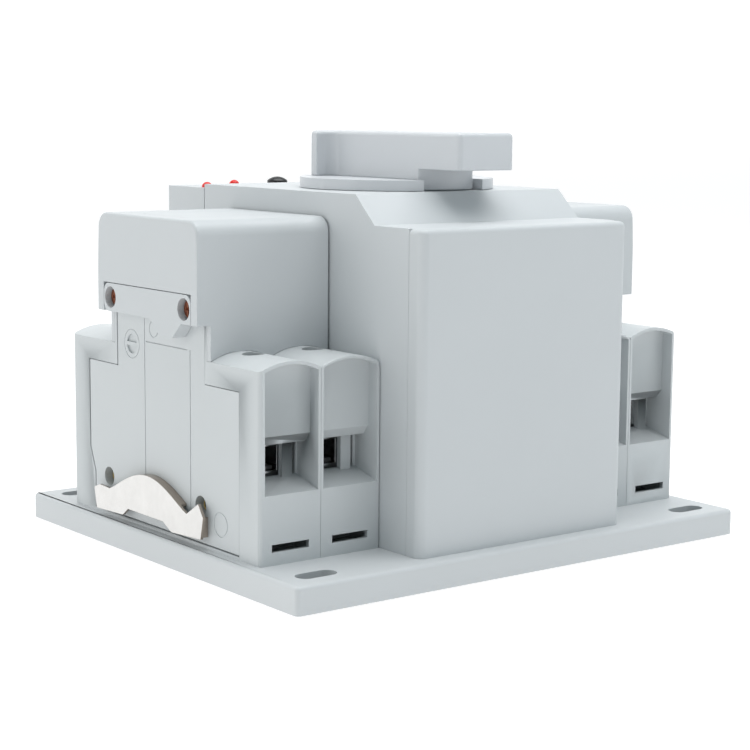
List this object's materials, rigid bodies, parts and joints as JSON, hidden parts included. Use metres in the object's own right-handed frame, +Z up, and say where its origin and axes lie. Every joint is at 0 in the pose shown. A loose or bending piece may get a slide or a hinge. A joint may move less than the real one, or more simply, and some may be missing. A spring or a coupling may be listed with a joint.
{
  "type": "manual transfer switch",
  "caption": "Manual transfer switch: two terminal-block breakers beside a central drive housing, a three-position knob slides a yoke that swings the toggles inside the side hoods.",
  "frame": {"origin": "centre of the underside of the base plate", "axes": "+X along the row of breakers, -Y to the front terminals and the tip of the knob, +Z up"},
  "size_m": [0.1452, 0.128, 0.1076],
  "materials": {
    "base_plastic": "fine matte moulding, light cool grey",
    "case_plastic": "satin moulded thermoset, light cool grey",
    "cover_plastic": "satin moulded thermoset, light cool grey",
    "hood_plastic": "satin moulding, light cool grey",
    "housing_plastic": "fine matte moulding, light cool grey",
    "knob_plastic": "smooth satin moulding, near white",
    "toggle_plastic": "dark glass-filled plastic",
    "black_plastic": "black moulded plastic",
    "bush_plastic": "natural acetal",
    "zinc": "bright zinc-plated steel",
    "bracket_steel": "plated pressed sheet",
    "dark_steel": "plain steel, darkened",
    "yoke_zinc": "die-cast metal, plain",
    "rivet_brass": "yellow-passivated rivet head",
    "screw_yellow": "yellow-passivated screw",
    "screw_red": "copper-plated screw",
    "pinion_brass": "turned brass",
    "copper": "bare copper",
    "tinned": "tinned copper strap",
    "bimetal": "rolled strip",
    "board": "green solder mask",
    "board_parts": "dark moulded parts",
    "lamp_red": "red diffused lamp lens"
  },
  "bodies": {
    "frame": {"base_plate": "base_plastic", "base_screws": "zinc", "outer_case_left": "case_plastic", "inner_case_left": "case_plastic", "outer_case_right": "case_plastic", "inner_case_right": "case_plastic", "outer_cover_left": "cover_plastic", "inner_cover_left": "cover_plastic", "outer_cover_right": "cover_plastic", "inner_cover_right": "cover_plastic", "breaker_rivets": "rivet_brass", "side_bracket_left": "bracket_steel", "side_bracket_right": "bracket_steel", "terminal_cages": "zinc", "terminal_screws": "screw_yellow", "line_contacts": "tinned", "load_straps": "tinned", "trip_coils": "copper", "coil_cores": "dark_steel", "bimetals": "bimetal", "arc_chutes": "dark_steel", "toggle_pivots": "zinc", "arm_pivots": "zinc", "hood_left": "hood_plastic", "hood_right": "hood_plastic", "retainer_strip_left": "hood_plastic", "retainer_strip_right": "hood_plastic", "hood_screws": "screw_red", "drive_housing": "housing_plastic", "front_cover": "housing_plastic", "rear_cover": "housing_plastic", "mechanism_plate": "zinc", "plate_screws": "zinc", "upper_bush": "bush_plastic", "lower_bush": "bush_plastic", "guide_rods": "zinc", "rod_blocks": "dark_steel", "micro_switches": "black_plastic", "circuit_board": "board", "board_parts": "board_parts", "signal_lamps": "lamp_red", "tact_switch": "black_plastic"},
    "knob_drive": {"knob": "knob_plastic", "knob_skirt": "knob_plastic", "drive_shaft": "zinc", "shaft_clip": "dark_steel", "drive_pinion": "pinion_brass"},
    "yoke": {"transfer_yoke": "yoke_zinc", "yoke_rack": "yoke_zinc"},
    "toggle_left": {"toggles_left": "toggle_plastic", "tie_pin_left": "zinc"},
    "toggle_right": {"toggles_right": "toggle_plastic", "tie_pin_right": "zinc"},
    "arms_left": {"contact_arms_left": "copper"},
    "arms_right": {"contact_arms_right": "copper"},
    "button": {"push_button": "black_plastic", "switch_plunger": "bush_plastic"}
  },
  "joints": [
    {"name": "knob_turn", "type": "hinge", "parent": "frame", "child": "knob_drive", "pos_m": [0, -0.0067, 0.1], "axis": [0, 0, 1], "range_deg": [-45, 45]},
    {"name": "yoke_slide", "type": "slide", "parent": "frame", "child": "yoke", "axis": [0, 1, 0], "range_m": [-0.0064, 0.0064]},
    {"name": "toggle_left_tilt", "type": "hinge", "parent": "frame", "child": "toggle_left", "pos_m": [-0.0513, 0.0008, 0.0648], "axis": [-1, 0, 0], "range_deg": [-28.5, 28.5]},
    {"name": "toggle_right_tilt", "type": "hinge", "parent": "frame", "child": "toggle_right", "pos_m": [0.0513, 0.0008, 0.0648], "axis": [-1, 0, 0], "range_deg": [-28.5, 28.5]},
    {"name": "arms_left_swing", "type": "hinge", "parent": "frame", "child": "arms_left", "pos_m": [-0.0513, 0.0038, 0.0428], "axis": [-1, 0, 0], "range_deg": [-8.2, 8.2]},
    {"name": "arms_right_swing", "type": "hinge", "parent": "frame", "child": "arms_right", "pos_m": [0.0513, -0.0022, 0.0428], "axis": [-1, 0, 0], "range_deg": [-8.2, 8.2]},
    {"name": "button_press", "type": "slide", "parent": "frame", "child": "button", "axis": [0, 0, 1], "range_m": [-0.0009, 0], "stiffness_N_per_m": 800, "springref_m": 0.0002}
  ],
  "couplings": [
    {"joint": "yoke_slide", "follows": "knob_turn", "m_per_rad": 0.008},
    {"joint": "toggle_left_tilt", "follows": "knob_turn", "ratio": 0.62},
    {"joint": "toggle_right_tilt", "follows": "knob_turn", "ratio": 0.62},
    {"joint": "arms_left_swing", "follows": "knob_turn", "ratio": 0.1777},
    {"joint": "arms_right_swing", "follows": "knob_turn", "ratio": 0.1777}
  ]
}
